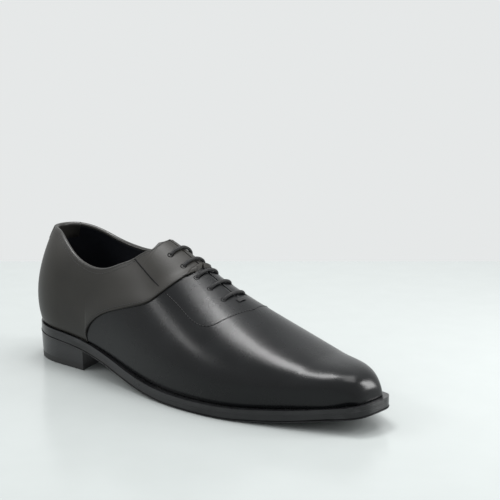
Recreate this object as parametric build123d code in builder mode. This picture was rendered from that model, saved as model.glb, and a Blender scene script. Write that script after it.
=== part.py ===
from build123d import *
import os
from math import cos, sin, radians, hypot, pi

import numpy as np

# Right-foot plain oxford, EU 43. Millimetres; +X heel to toe, +Y medial (inner) side, +Z up, heel
# tread on Z = 0. X = 0 is the back of the heel while the shoe is drawn, and HOME moves the finished
# pieces so that the origin is the centre of the shoe's footprint.

# ---------------------------------------------------------------- driving dimensions
OUTSOLE = 4.9           # leather outsole thickness
EDGE = 8.0              # outsole bottom to the feather line, where the upper meets the welt
LEATHER = 1.3           # upper leather
STIFFENER = 0.9         # heel counter, toe puff and facing stays
LINING = 0.8            # lining leather
PLY_GAP = 0.05          # clearance between plies
HEEL_X = 45.0           # centre of the round heel seat
BREAST_X = 66.0         # front of the heel
TOP_PIECE = 4.5         # rubber heel tread
LIFT = 4.5              # each full leather heel lift
SLIT_Y = 2.5            # the lace slit runs along this line
SLIT_HALF = 0.7         # half width of the slit
SLIT_END = 187.0        # lower end of the slit
HOLE_X = (184.0, 172.0, 160.0, 148.0, 136.0)    # eyelet rows, toe end first
HOLE_GAUGE = 11.5       # from the slit to a hole
HOLE_R = 1.5
EYELET_BORE = 1.9
LACE_R = 1.2
TONGUE_DEPTH = 8.6      # tongue's outer face below the upper's outer face
LACE_OUT = 1.65         # lace centre above the upper where it crosses
LACE_IN = -4.9
TIGHT = 1.5             # lace bend at a punched hole
TONGUE_X = (116, 124, 132, 142, 155, 172, 189)
TONGUE_THICK = 1.2
TONGUE_HINGE = 189.0
TONGUE_FOOT = 42.0      # the tongue's arch is trimmed to what lies above this height
BINDING_DROP = (1.2, 2.4)   # rolled topline edge: forward and down shift of its lower line
TAB_X = 21.5            # the heel tab reaches this far round
TAB_Z = 91.0
HEEL_FOOT = 1.2         # heel block beyond the feather line, at the tread
HEEL_SEAT = 2.0         # and at the seat
BREAST_HOLLOW = 4.0     # hollow of the heel breast
BREAST_R = 92.0
NAILS = ((16, 0), (22, -17), (22, 17), (38, -22), (38, 22), (54, -21), (54, 21))
NAIL_R = 1.0
SHANK = ((42, 150), (-10.5, 3.5))   # steel shank in plan: along, across
ORIGIN_X = 152.916        # centre of the footprint
ORIGIN_Y = 0.004

STIFF_IN = LEATHER + PLY_GAP
LINING_IN = STIFF_IN + STIFFENER + PLY_GAP
UPPER_STACK = LINING_IN + LINING


class Curve:
    """Natural cubic spline through (x, value, ...) stations."""

    def __init__(self, *stations):
        table = np.array(stations, float)
        self.x, self.y = table[:, 0], table[:, 1:]
        n, h = len(table), np.diff(table[:, 0])
        a, b = np.eye(n), np.zeros((n, self.y.shape[1]))
        for i in range(1, n - 1):
            a[i, i - 1 : i + 2] = h[i - 1], 2 * (h[i - 1] + h[i]), h[i]
            b[i] = 6 * ((self.y[i + 1] - self.y[i]) / h[i] - (self.y[i] - self.y[i - 1]) / h[i - 1])
        self.m = np.linalg.solve(a, b)

    def __call__(self, x, k=0):
        i = int(np.clip(np.searchsorted(self.x, x) - 1, 0, len(self.x) - 2))
        h = self.x[i + 1] - self.x[i]
        q = (x - self.x[i]) / h
        p = 1 - q
        bend = (p**3 - p) * self.m[i, k] + (q**3 - q) * self.m[i + 1, k]
        return float(p * self.y[i, k] + q * self.y[i + 1, k] + bend * h * h / 6)


# Underside of the outsole: heel pitch, waist, tread at the ball and toe spring.
BOTTOM = Curve((0, 20), (33, 18.6), (70, 15.2), (100, 9.8), (130, 3.8), (160, 0.6), (190, 0.0),
               (220, 0.5), (250, 3.0), (280, 7.0), (306, 12.0))
# Half widths of the feather line and of the widest place above it: x, lateral, medial.
FEATHER = Curve((45, 30.5, 30), (70, 31.5, 27), (100, 35.5, 24), (130, 41.5, 25), (160, 46.5, 34),
                (190, 48, 45.5), (215, 45.5, 48), (240, 38.5, 43), (265, 29.8, 31), (283, 22.5, 20))
BULGE = Curve((45, 34, 34), (70, 35, 33), (100, 38.5, 32), (130, 43.5, 33), (160, 48, 39),
              (190, 49.5, 47.5), (215, 47, 49.5), (240, 40, 44), (265, 31, 32), (283, 23.5, 21))
BULGE_RISE = Curve((45, 24), (70, 22), (100, 20), (130, 18), (160, 16), (190, 14), (215, 13),
                   (240, 12), (265, 11), (283, 10))
RIDGE = Curve((45, 112), (70, 112), (100, 107.5), (125, 100.5), (150, 87.5), (180, 71), (210, 56.5),
              (240, 44.8), (265, 38.5), (283, 35.8))
RIDGE_Y = Curve((45, 0), (70, 0), (100, 1), (130, 2), (160, 3), (190, 3), (215, 2), (240, -0.5),
                (265, -3.5), (283, -4.5))
FULLNESS = Curve((45, 2.0), (100, 1.9), (130, 1.85), (160, 1.8), (190, 1.85), (215, 1.95), (240, 2.1),
                 (283, 2.4))
# Back of the heel in side view: height, x.
BACK = Curve((20, 6.5), (28, 3.5), (38, 0.8), (50, 0.2), (62, 1.8), (75, 5.2), (88, 9.4), (100, 13.5),
             (112, 17.5))
HEEL_ROUND = 2.25       # superellipse power of the heel in plan
# Toe box, 0 where it begins to 1 at the feather line across the tip.
TOE_LAT = Curve((0, 283, -22.5), (0.5, 290, -20.5), (1, 295.5, -17.5))
TOE_MED = Curve((0, 283, 20), (0.5, 293, 13), (1, 299.5, 6.5))
TOE_TOP = Curve((0, 283, -4.5, 35.8), (0.35, 292.3, -4.8, 33.0), (0.7, 298.3, -5.0, 27.3),
                (1, 300.5, -5.0, 19.1))
SECTION_STEPS = (0, 30, 60)                     # degrees round the lower, rolled-in part
CROWN_STEPS = (0, 15, 30, 45, 60, 75, 90)       # degrees from the widest place to the ridge

# Side-view seam lines, x then z.
TOPLINE_LAT = ((-5, 101.5), (12, 101.5), (24, 101.5), (32, 100.2), (45, 93.4), (55, 87), (67, 81.8),
               (80, 79.4), (95, 81.3), (105, 85.4), (114, 89.8), (120.5, 94.6), (124.5, 99.5), (126, 106))
TOPLINE_MED = ((-5, 101.5), (12, 101.5), (24, 100.6), (32, 98.2), (46, 92.6), (58, 88.8), (70, 86.6),
               (85, 85.4), (98, 86.8), (108, 89.6), (116, 93.2), (121.5, 96.8), (124.5, 101), (126, 107))
SWAN_SEAM = ((74, 12), (74.4, 24), (76, 32.5), (83, 41), (95, 48.7), (111, 54.8), (127, 59.6),
             (138, 63.6), (144.5, 69.2), (149, 74.4), (153, 79.5), (157, 86), (160, 100))
LINING_SEAM_X = 116.0
GRIP_X = 30.0
COUNTER_TOP = ((-5, 74), (20, 72), (45, 60), (62, 40), (68, 10))
PUFF_X = 256.0


def feather_z(x):
    return BOTTOM(x) + EDGE


def crown_limit(x):
    """Degrees round the crown that a quarter reaches at x; the ankle is open, so it stops short."""
    return float(np.interp(x, (85, 112, 125), (68, 80, 90)))


def half_section(x, side, inset, limit=90):
    """(half width from Y = 0, z) up one side of the section at x, side -1 lateral or 1 medial."""
    k = 0 if side < 0 else 1
    foot, wide = FEATHER(x, k) - inset, BULGE(x, k) - inset
    low, mid, top = feather_z(x), feather_z(x) + BULGE_RISE(x), RIDGE(x) - inset
    ridge_y, power = side * RIDGE_Y(x), 2 / FULLNESS(x)
    points = []
    for step in SECTION_STEPS:
        a = radians(step)
        points.append((foot + (wide - foot) * sin(a), mid - (mid - low) * cos(a)))
    for step in CROWN_STEPS:
        a = radians(step * limit / 90)
        across = ridge_y + (wide - ridge_y) * max(cos(a), 0.0) ** power
        points.append((across, mid + (top - mid) * sin(a) ** power))
    return points


def crown_z(x, y):
    """Height of the upper's outer face above (x, y), from its widest place to the ridge."""
    side = -1 if y < RIDGE_Y(x) else 1
    mid = feather_z(x) + BULGE_RISE(x)
    reach = BULGE(x, 0 if side < 0 else 1) - side * RIDGE_Y(x)
    share = min(abs(y - RIDGE_Y(x)) / reach, 1.0)
    return mid + (RIDGE(x) - mid) * (1 - share ** FULLNESS(x)) ** (1 / FULLNESS(x))


def crown_frame(x, y):
    """Point on the crown and its outward normal."""
    d = 0.5
    slope_x = (crown_z(x + d, y) - crown_z(x - d, y)) / (2 * d)
    slope_y = (crown_z(x, y + d) - crown_z(x, y - d)) / (2 * d)
    return Vector(x, y, crown_z(x, y)), Vector(-slope_x, -slope_y, 1).normalized()


def off_crown(x, y, height):
    point, normal = crown_frame(x, y)
    return point + normal * height


# ---------------------------------------------------------------- rows of the upper's surface
def heel_row(turn, side, inset):
    """Plane and outline of a half row, turn degrees round from the side (0) to the back seam (90)."""
    a = radians(turn)
    flat = half_section(HEEL_X, side, inset, crown_limit(HEEL_X))
    z_first, z_last = flat[0][1], flat[-1][1]
    start = feather_z(HEEL_X - (HEEL_X - BACK(28)) * sin(a))
    outline = []
    for across, z in flat:
        level = start + (z - z_first) * (z_last - start) / (z_last - z_first)
        back = HEEL_X - BACK(level) - inset
        grow = (sin(a) / back) ** HEEL_ROUND + (cos(a) / across) ** HEEL_ROUND
        outline.append((grow ** (-1 / HEEL_ROUND), level))
    radial = Vector(-sin(a), side * cos(a), 0)
    return Plane(origin=(HEEL_X, 0, 0), x_dir=radial, z_dir=radial.cross(Vector(0, 0, 1))), outline


def flank_row(x, side, inset):
    radial = Vector(0, side, 0)
    plane = Plane(origin=(x, 0, 0), x_dir=radial, z_dir=radial.cross(Vector(0, 0, 1)))
    return plane, half_section(x, side, inset, crown_limit(x))


def arch_row(x, inset):
    """Whole section at x, lateral feather line over the ridge to the medial one."""
    left = [(-y, z) for y, z in half_section(x, -1, inset)]
    right = half_section(x, 1, inset)
    plane = Plane(origin=(x, 0, 0), x_dir=(0, 1, 0), z_dir=(1, 0, 0))
    return plane, left + right[-2::-1]


def toe_row(share, inset):
    """Tilted section of the toe box; it leans from upright to level as share goes 0 to 1."""
    x_lat, x_med = TOE_LAT(share), TOE_MED(share)
    lat = Vector(x_lat, TOE_LAT(share, 1), feather_z(x_lat))
    med = Vector(x_med, TOE_MED(share, 1), feather_z(x_med))
    top = Vector(TOE_TOP(share), TOE_TOP(share, 1), TOE_TOP(share, 2))
    centre = (lat + med) * 0.5
    across = (med - lat).normalized()
    shift = (top - centre).dot(across)
    up = (top - centre) - across * shift
    width, height = (med - lat).length / 2 - inset, up.length - inset
    power = 2 / (2.4 + 0.5 * share)
    outline = []
    for step in range(0, 181, 10):
        a = radians(step)
        y = abs(sin(a)) ** power
        swell = 1 + 0.04 * (1 - share) * sin(2 * min(a, pi - a))
        outline.append((-np.sign(cos(a)) * abs(cos(a)) ** power * width * swell + shift * y, y * height))
    return Plane(origin=centre, x_dir=across, z_dir=across.cross(up.normalized())), outline


def loft_ply(rows, outer, inner):
    """Loft one ply of the upper from outer to inner inset; each row is a function of the inset."""
    with BuildPart() as ply:
        for row in rows:
            plane, outside = row(outer)
            inside = row(inner)[1]
            with BuildSketch(plane):
                with BuildLine():
                    Spline(*outside)
                    Line(outside[-1], inside[-1])
                    Spline(*inside[::-1])
                    Line(inside[0], outside[0])
                make_face()
        loft()
    return ply.part


def quarter_ply(side, outer, inner):
    turns = [lambda t, a=a: heel_row(a, side, t) for a in (90, 75, 60, 45, 30, 15, 0)]
    flanks = [lambda t, x=x: flank_row(x, side, t) for x in (57, 70, 85, 100, 112, 125, 137, 150, 165)]
    return loft_ply(turns + flanks, outer, inner)


def vamp_ply(outer, inner):
    stations = (70, 85, 100, 112, 125, 137, 150, 165, 176, 187, 198, 210, 230, 250, 268)
    arches = [lambda t, x=x: arch_row(x, t) for x in stations]
    toes = [lambda t, s=s: toe_row(s, t) for s in (0.0, 0.2, 0.4, 0.6, 0.8, 1.0)]
    return loft_ply(arches + toes, outer, inner)



def tongue_row(x, extra):
    """Arch of the tongue under the facings, level with their tops at its own top."""
    return arch_row(x, TONGUE_DEPTH + extra)


def tongue_ply(outer, inner):
    return loft_ply([lambda t, x=x: tongue_row(x, t) for x in TONGUE_X], outer, inner)


# ---------------------------------------------------------------- cutting areas
def side_area(points, corners):
    """Side-view area bounded by a smooth line and then corners, run right across the shoe."""
    with BuildPart() as area:
        with BuildSketch(Plane.XZ):
            with BuildLine():
                Spline(*points)
                Polyline(points[-1], *corners, points[0])
            make_face()
        extrude(amount=90, both=True)
    return area.part


def over_topline(drop_x=0.0, drop_z=0.0):
    """Everything above the topline, or above a line dropped below it, on both sides."""
    with BuildPart() as area:
        for line, reach in ((TOPLINE_LAT, 90), (TOPLINE_MED, -90)):
            low = [(x + drop_x, z - drop_z) for x, z in line]
            with BuildSketch(Plane.XZ.offset(-SLIT_Y)):
                with BuildLine():
                    Spline(*low)
                    Polyline(low[-1], (low[-1][0], 140), (low[0][0], 140), low[0])
                make_face()
            extrude(amount=reach)
    return area.part


def block(x, y, z):
    """Box between the (low, high) pairs x, y and z."""
    with BuildPart() as area:
        with Locations(((x[0] + x[1]) / 2, (y[0] + y[1]) / 2, (z[0] + z[1]) / 2)):
            Box(x[1] - x[0], y[1] - y[0], z[1] - z[0])
    return area.part


def hole_cutters():
    with BuildPart() as holes:
        for x in HOLE_X:
            for side in (-1, 1):
                point, normal = crown_frame(x, SLIT_Y + side * HOLE_GAUGE)
                with Locations(Plane(origin=point - normal * 1.5, z_dir=normal)):
                    Cylinder(HOLE_R, 6)
    return holes.part


def trimmed(solids, keep=(), cut=()):
    with BuildPart() as piece:
        for solid in solids:
            add(solid)
        for area in keep:
            add(area, mode=Mode.INTERSECT)
        for area in cut:
            add(area, mode=Mode.SUBTRACT)
    return piece


# ---------------------------------------------------------------- sole outlines
def welt_reach(x):
    """How far the sole stands out beyond the feather line."""
    return float(np.interp(x, (0, 60, 110, 170, 310), (1.8, 2.2, 3.4, 4.6, 4.2)))


def feather_plan(tip_steps):
    """Closed loop of (x, y) round the feather line, back of the heel first, lateral side next."""
    loop = []
    for side, turns in ((-1, (90, 67, 45, 22)), (1, (22, 45, 67))):
        part = []
        for turn in turns:
            radius = heel_row(turn, side, 0)[1][0][0]
            part.append((HEEL_X - radius * sin(radians(turn)), side * radius * cos(radians(turn))))
        loop.append(part)
    flanks = (45, 70, 100, 130, 160, 190, 215, 240, 263)
    lateral = [(x, -FEATHER(x, 0)) for x in flanks]
    medial = [(x, FEATHER(x, 1)) for x in flanks[::-1]]
    plane, front = toe_row(1.0, 0)
    tip = [plane.from_local_coords(Vector(*front[i], 0)) for i in tip_steps]
    toe = [(TOE_LAT(0), TOE_LAT(0, 1)), (TOE_LAT(0.5), TOE_LAT(0.5, 1))]
    toe += [(p.X, p.Y) for p in tip]
    toe += [(TOE_MED(0.5), TOE_MED(0.5, 1)), (TOE_MED(0), TOE_MED(0, 1))]
    return loop[0] + lateral + toe + medial + loop[1]


def footprint(reach):
    """Feather line moved out by reach, a number or a function of x."""
    inward = not callable(reach) and reach < 0
    loop = feather_plan((4, 9, 14) if inward else (2, 5, 9, 13, 16))
    moved = []
    for i, (x, y) in enumerate(loop):
        (x0, y0), (x1, y1) = loop[i - 1], loop[(i + 1) % len(loop)]
        length = hypot(x1 - x0, y1 - y0)
        out = reach(x) if callable(reach) else reach
        moved.append((x + out * (y1 - y0) / length, y - out * (x1 - x0) / length))
    return moved


def plate(reach, low, high):
    """Sheet of sole material between two heights over the tread line, cut to a footprint."""
    with BuildPart() as sheet:
        with BuildSketch(Plane.XY.offset(-1)):
            with BuildLine():
                Spline(*footprint(reach), periodic=True)
            make_face()
        extrude(amount=60)
        for height, limit in ((low, -30), (high, 90)):
            line = [(x, BOTTOM(x) + height) for x in range(-12, 325, 12)]
            with BuildSketch(Plane.XZ):
                with BuildLine():
                    Spline(*line)
                    Polyline(line[-1], (line[-1][0], limit), (line[0][0], limit), line[0])
                make_face()
            extrude(amount=90, both=True, mode=Mode.SUBTRACT)
    return sheet.part


# ---------------------------------------------------------------- heel
def heel_outline(reach):
    """Heel end of a footprint, closed straight across well ahead of the breast."""
    loop = footprint(reach)
    lateral = [p for p in loop[:8] if p[0] < 110]
    medial = [p for p in loop[-8:] if p[0] < 110]
    return medial + lateral


def heel_block():
    with BuildPart() as heel:
        for height, reach in ((0, HEEL_FOOT), (24, HEEL_SEAT)):
            with BuildSketch(Plane.XY.offset(height)):
                with BuildLine():
                    rim = heel_outline(reach)
                    Spline(*rim)
                    Line(rim[-1], rim[0])
                make_face()
        loft(ruled=True)
        with BuildSketch(Plane.XZ):
            with BuildLine():
                seat = [(x, BOTTOM(x)) for x in range(-12, 121, 12)]
                Spline(*seat)
                Polyline(seat[-1], (120, 40), (-12, 40), seat[0])
            make_face()
        extrude(amount=90, both=True, mode=Mode.SUBTRACT)
        with Locations((BREAST_X - BREAST_HOLLOW + BREAST_R, 0, 15)):
            Cylinder(BREAST_R, 60, mode=Mode.SUBTRACT)
    return heel.part


# ---------------------------------------------------------------- lace
def eyelet(row, side, height):
    return off_crown(HOLE_X[row], SLIT_Y + side * HOLE_GAUGE, height)


def under_facing(row, side, shift):
    """Point inside the shoe level with a row, shifted away from the slit to pass another strand."""
    return off_crown(HOLE_X[row], SLIT_Y + side * (HOLE_GAUGE + shift), LACE_IN)


def lace_bar(row, side):
    """Out of one hole, straight across the slit and into the hole opposite."""
    path = [(eyelet(row, side, LACE_IN), None), (eyelet(row, side, LACE_OUT), TIGHT)]
    for across in (side * 4.5, -side * 4.5):
        path.append((off_crown(HOLE_X[row], SLIT_Y + across, LACE_OUT + 0.5), 8.0))
    return path[1:] + [(eyelet(row, -side, LACE_OUT), TIGHT), (eyelet(row, -side, LACE_IN), TIGHT)]


def lace_tail(row, side):
    """Tucked-in end: along the lining, round the edge of the tongue and down inside the shoe."""
    steps = ((-1.5, 16.0), (-4.0, 20.0), (-7.5, 23.5), (-12.0, 26.0))
    return [(off_crown(HOLE_X[row] + dx, SLIT_Y + side * dy, LACE_IN - 0.7), 5.0) for dx, dy in steps]


# ---------------------------------------------------------------- finished pieces
os.makedirs("parts", exist_ok=True)
HOME = Location((-ORIGIN_X, -ORIGIN_Y, 0))
finished = {}


def save(name, piece):
    shape = piece.part.moved(HOME)
    shape.label = name
    export_step(shape, f"parts/{name}.step")
    finished[name] = shape


SIDES = {"lateral": -1, "medial": 1}
quarter_area = side_area(SWAN_SEAM, [(160, 140), (-20, 140), (-20, -10), (74, -10)])
slit = block((100, SLIT_END), (SLIT_Y - SLIT_HALF, SLIT_Y + SLIT_HALF), (40, 140))
across_slit = {
    "lateral": block((75, 200), (SLIT_Y - SLIT_HALF, 90), (-10, 140)),
    "medial": block((75, 200), (-90, SLIT_Y + SLIT_HALF), (-10, 140)),
}
holes = hole_cutters()
over_edge = over_topline()
over_binding = over_topline(*BINDING_DROP)
grip_area = block((-20, GRIP_X), (-60, 60), (-10, 140))
stiffener = {name: quarter_ply(side, STIFF_IN, STIFF_IN + STIFFENER) for name, side in SIDES.items()}
lining = {name: quarter_ply(side, LINING_IN, UPPER_STACK) for name, side in SIDES.items()}

# Vamp: one piece of leather from the swan-neck seam to the toe, with the lower facings.
vamp = trimmed([vamp_ply(0, LEATHER)], cut=[quarter_area, slit, holes])
save("vamp", vamp)

# Quarters: back seam to the upper facings, above the swan-neck seam, under the rolled edge.
for name, side in SIDES.items():
    ply = quarter_ply(side, 0, LEATHER)
    quarter = trimmed([ply], [quarter_area], [over_binding, across_slit[name], holes])
    save(f"quarter_{name}", quarter)

# Rolled edge that binds leather and lining along the topline, from the heel tab to the slit.
tab_area = block((-20, TAB_X), (-60, 60), (-10, 140))
for name, side in SIDES.items():
    ply = quarter_ply(side, -0.1, UPPER_STACK + 0.1)
    under = trimmed([ply], cut=[over_binding])
    binding = trimmed([ply], [quarter_area], [over_edge, across_slit[name], tab_area, under.part])
    save(f"topline_binding_{name}", binding)

# Heel tab: a folded saddle of leather over the back of the topline.
saddle = [quarter_ply(side, -0.6, UPPER_STACK + 0.6) for side in SIDES.values()]
room = trimmed([quarter_ply(side, -0.05, UPPER_STACK + 0.05) for side in SIDES.values()], cut=[over_binding])
tab_block = block((-20, TAB_X - 0.05), (-60, 60), (TAB_Z, 140))
heel_tab = trimmed(saddle, [tab_block], [over_topline(0, -0.4), room.part])
save("heel_tab", heel_tab)

# Linings: grip round the heel, two quarters, and the vamp with its facings.
heel_grip = trimmed(lining.values(), [grip_area], [over_binding])
save("heel_grip", heel_grip)
lining_area = block((GRIP_X, LINING_SEAM_X), (-60, 60), (-10, 140))
for name in SIDES:
    quarter_lining = trimmed([lining[name]], [lining_area], [over_binding, across_slit[name]])
    save(f"quarter_lining_{name}", quarter_lining)
front_area = block((LINING_SEAM_X, 320), (-90, 90), (-10, 140))
vamp_lining = trimmed([vamp_ply(LINING_IN, UPPER_STACK)], [front_area], [over_binding, slit, holes])
save("vamp_lining", vamp_lining)

# Stiffeners between leather and lining: heel counter, toe puff and a stay behind each facing.
counter_area = side_area(COUNTER_TOP, [(-5, -10)])
heel_counter = trimmed(stiffener.values(), [counter_area])
save("heel_counter", heel_counter)
front_stiffener = vamp_ply(STIFF_IN + 0.4, STIFF_IN + STIFFENER - 0.1)
puff_area = block((PUFF_X, 320), (-60, 60), (0, 70))
save("toe_puff", trimmed([front_stiffener], [puff_area]))
for name, side in SIDES.items():
    near, far = sorted((SLIT_Y + side * (SLIT_HALF + 0.4), SLIT_Y + side * 18.0))
    stay_area = block((121, SLIT_END + 3), (near, far), (40, 140))
    stay = trimmed([front_stiffener], [stay_area], [over_binding, holes])
    save(f"facing_stay_{name}", stay)

# Blind eyelets: rings on the inside of the facings, round each punched hole.
with BuildPart() as eyelets:
    for row in range(len(HOLE_X)):
        for side in (-1, 1):
            point, normal = crown_frame(HOLE_X[row], SLIT_Y + side * HOLE_GAUGE)
            with Locations(Plane(origin=point - normal * 3.27, z_dir=normal)):
                Cylinder(2.5, 0.2)
                Cylinder(EYELET_BORE, 0.2, mode=Mode.SUBTRACT)
save("eyelets", eyelets)

# Tongue and its lining, sewn under the vamp just below the slit.
with BuildPart() as tongue_area:
    with BuildSketch(Plane.XY.offset(TONGUE_FOOT)):
        with BuildLine():
            Polyline((117, -16.5), (150, -17.5), (TONGUE_HINGE, -13), (TONGUE_HINGE, 18), (150, 22.5),
                     (117, 21.5), close=True)
        make_face()
        fillet(vertices().sort_by(Axis.X)[:2], 7)
    extrude(amount=140)
tongue = trimmed([tongue_ply(0, TONGUE_THICK)], [tongue_area.part])
save("tongue", tongue)
tongue_lining = trimmed([tongue_ply(TONGUE_THICK + 0.05, TONGUE_THICK + 0.75)], [tongue_area.part])
save("tongue_lining", tongue_lining)

# Thread bar that stops the slit from tearing.
point, normal = crown_frame(SLIT_END + 3.0, SLIT_Y)
with BuildPart() as bar_tack:
    with Locations(Plane(origin=point + normal * 0.5, x_dir=(0, 1, 0), z_dir=normal)):
        Box(8.5, 1.6, 0.8)
    fillet(bar_tack.edges().filter_by(GeomType.LINE), 0.3)
save("bar_tack", bar_tack)

# Lace: one cord through the rows, bottom row 0 to top row 4, both ends tucked in.
knots = lace_tail(3, -1)[::-1] + [(eyelet(3, -1, LACE_IN), TIGHT)]
knots += lace_bar(3, -1) + [(under_facing(2, 1, -2.8), 4.0), (eyelet(1, 1, LACE_IN), TIGHT)]
knots += lace_bar(1, 1) + [(eyelet(0, -1, LACE_IN), TIGHT)]
knots += lace_bar(0, -1) + [(under_facing(1, 1, 2.8), 4.0), (eyelet(2, 1, LACE_IN), TIGHT)]
knots += lace_bar(2, 1) + [(under_facing(3, -1, -2.8), 4.0), (eyelet(4, -1, LACE_IN), TIGHT)]
knots += lace_bar(4, -1) + lace_tail(4, 1)
route_points = [point for point, radius in knots]
route_radii = [radius for point, radius in knots[1:-1]]
with BuildPart() as shoelace:
    with BuildLine() as route:
        FilletPolyline(*route_points, radius=route_radii)
    lace_path = route.wire()
    with BuildSketch(Plane(origin=lace_path @ 0, z_dir=lace_path % 0)):
        Circle(LACE_R)
    sweep(path=lace_path)
lace_length = lace_path.length
print("lace length", round(lace_length, 1), "volume", round(shoelace.part.volume, 1),
      "section times length", round(pi * LACE_R**2 * lace_length, 1))
save("shoelace", shoelace)
with BuildPart() as aglets:
    for end, inward in ((lace_path @ 0, lace_path % 0), (lace_path @ 1, -(lace_path % 1))):
        with Locations(Plane(origin=end + inward * (2.6), z_dir=inward)):
            Cylinder(LACE_R + 0.3, 5.2)
            Cylinder(LACE_R + 0.02, 5.2, mode=Mode.SUBTRACT)
save("aglets", aglets)

# Bottom: welt round the front, rand round the heel, cork, shank, insole, sock and outsole.
ring = trimmed([plate(welt_reach, OUTSOLE + 0.05, EDGE - 0.1)], cut=[plate(-4.2, 0, 20)])
rand_area = block((-20, BREAST_X - 4), (-90, 90), (-10, 60))
save("welt", trimmed([ring.part], cut=[rand_area]))
save("heel_rand", trimmed([ring.part], [rand_area]))
with BuildPart() as shank:
    add(plate(-4.4, OUTSOLE + 1.0, OUTSOLE + 2.2))
    add(block(*SHANK, (-10, 60)), mode=Mode.INTERSECT)
save("shank", shank)
save("cork_filler", trimmed([plate(-4.3, OUTSOLE + 0.05, EDGE)], cut=[shank.part]))
save("insole", trimmed([plate(-4.6, EDGE + 0.05, EDGE + 2.5)]))
save("sock_liner", trimmed([plate(-4.9, EDGE + 2.55, EDGE + 3.4)]))
with BuildPart() as nails:
    with Locations([(x, y, 11.5) for x, y in NAILS]):
        Cylinder(NAIL_R, 14)
outsole = trimmed([plate(welt_reach, 0, OUTSOLE)], cut=[nails.part])
save("outsole", outsole)

# Heel: rubber top piece, leather lifts and the nails that hold them to the outsole.
heel = heel_block()
save("top_piece", trimmed([heel], [block((-20, 120), (-60, 60), (0, TOP_PIECE))], [nails.part]))
for number, low in enumerate((TOP_PIECE, TOP_PIECE + LIFT, TOP_PIECE + 2 * LIFT), 1):
    high = low + LIFT if number < 3 else 40
    lift = trimmed([heel], [block((-20, 120), (-60, 60), (low, high))], [nails.part])
    save(f"heel_lift_{number}", lift)
save("heel_nails", nails)

whole = Compound(children=list(finished.values())).bounding_box()
print("box", whole.min, whole.max, "origin error", whole.center().X, whole.center().Y)
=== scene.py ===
import math

import bmesh
import bpy
import numpy as np
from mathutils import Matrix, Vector


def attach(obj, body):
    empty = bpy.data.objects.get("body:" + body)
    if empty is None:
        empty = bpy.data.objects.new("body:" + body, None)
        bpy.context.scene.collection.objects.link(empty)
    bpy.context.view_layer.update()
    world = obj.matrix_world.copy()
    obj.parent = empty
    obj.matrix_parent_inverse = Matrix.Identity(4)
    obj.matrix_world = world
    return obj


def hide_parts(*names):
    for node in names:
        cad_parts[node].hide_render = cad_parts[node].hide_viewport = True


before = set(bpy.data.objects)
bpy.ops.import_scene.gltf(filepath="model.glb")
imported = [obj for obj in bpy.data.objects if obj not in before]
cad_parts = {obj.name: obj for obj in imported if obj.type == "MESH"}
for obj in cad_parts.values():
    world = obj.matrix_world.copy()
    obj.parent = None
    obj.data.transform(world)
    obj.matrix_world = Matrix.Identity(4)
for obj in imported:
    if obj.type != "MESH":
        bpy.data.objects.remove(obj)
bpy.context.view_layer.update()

# The shoe is drawn in the millimetres of part.py, X from the back of the heel, and goes to metres
# about the centre of its footprint when a mesh is made.
ORIGIN = np.array([152.916, 0.004, 0.0])
MM = 0.001

# ---------------------------------------------------------------- driving dimensions, as in part.py
EDGE = 8.0
HEEL_X = 45.0
TOE_X = 283.0
SLIT_Y, SLIT_HALF, SLIT_END = 2.5, 0.7, 187.0
HOLE_X = (184.0, 172.0, 160.0, 148.0, 136.0)
HOLE_GAUGE = 11.5
LACE_R = 1.2
HEEL_ROUND = 2.25
FOLD = 1.15             # the folded quarter edge stands this far above the vamp
LOW_SHARE = 0.22        # share of a section's grid that goes to its rolled-in foot
THROAT_X = 125.9        # where the opening ends and the slit begins
QUARTER_END = 157.3
HOLE_FOLD_END = 157     # holes behind this station go through the raised quarter
TOE_BRIDGE = (118, 178)  # rows of the vamp grid that are faired over the start of the toe box
LEATHER, LINING = 1.3, 1.7
TONGUE_DEPTH, TONGUE_THICK = 8.6, 2.0
EDGE_STITCH, TOP_STITCH = 2.2, 3.4


class Curve:
    """Natural cubic spline through (x, value, ...) stations, for arrays of x."""

    def __init__(self, *stations):
        table = np.array(stations, float)
        self.x, self.y = table[:, 0], table[:, 1:]
        n, h = len(table), np.diff(table[:, 0])
        a, b = np.eye(n), np.zeros((n, self.y.shape[1]))
        for i in range(1, n - 1):
            a[i, i - 1 : i + 2] = h[i - 1], 2 * (h[i - 1] + h[i]), h[i]
            b[i] = 6 * ((self.y[i + 1] - self.y[i]) / h[i] - (self.y[i] - self.y[i - 1]) / h[i - 1])
        self.m = np.linalg.solve(a, b)

    def __call__(self, x, k=0):
        x = np.asarray(x, float)
        i = np.clip(np.searchsorted(self.x, x) - 1, 0, len(self.x) - 2)
        h = self.x[i + 1] - self.x[i]
        q = (x - self.x[i]) / h
        p = 1 - q
        bend = (p**3 - p) * self.m[i, k] + (q**3 - q) * self.m[i + 1, k]
        return p * self.y[i, k] + q * self.y[i + 1, k] + bend * h * h / 6


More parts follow.
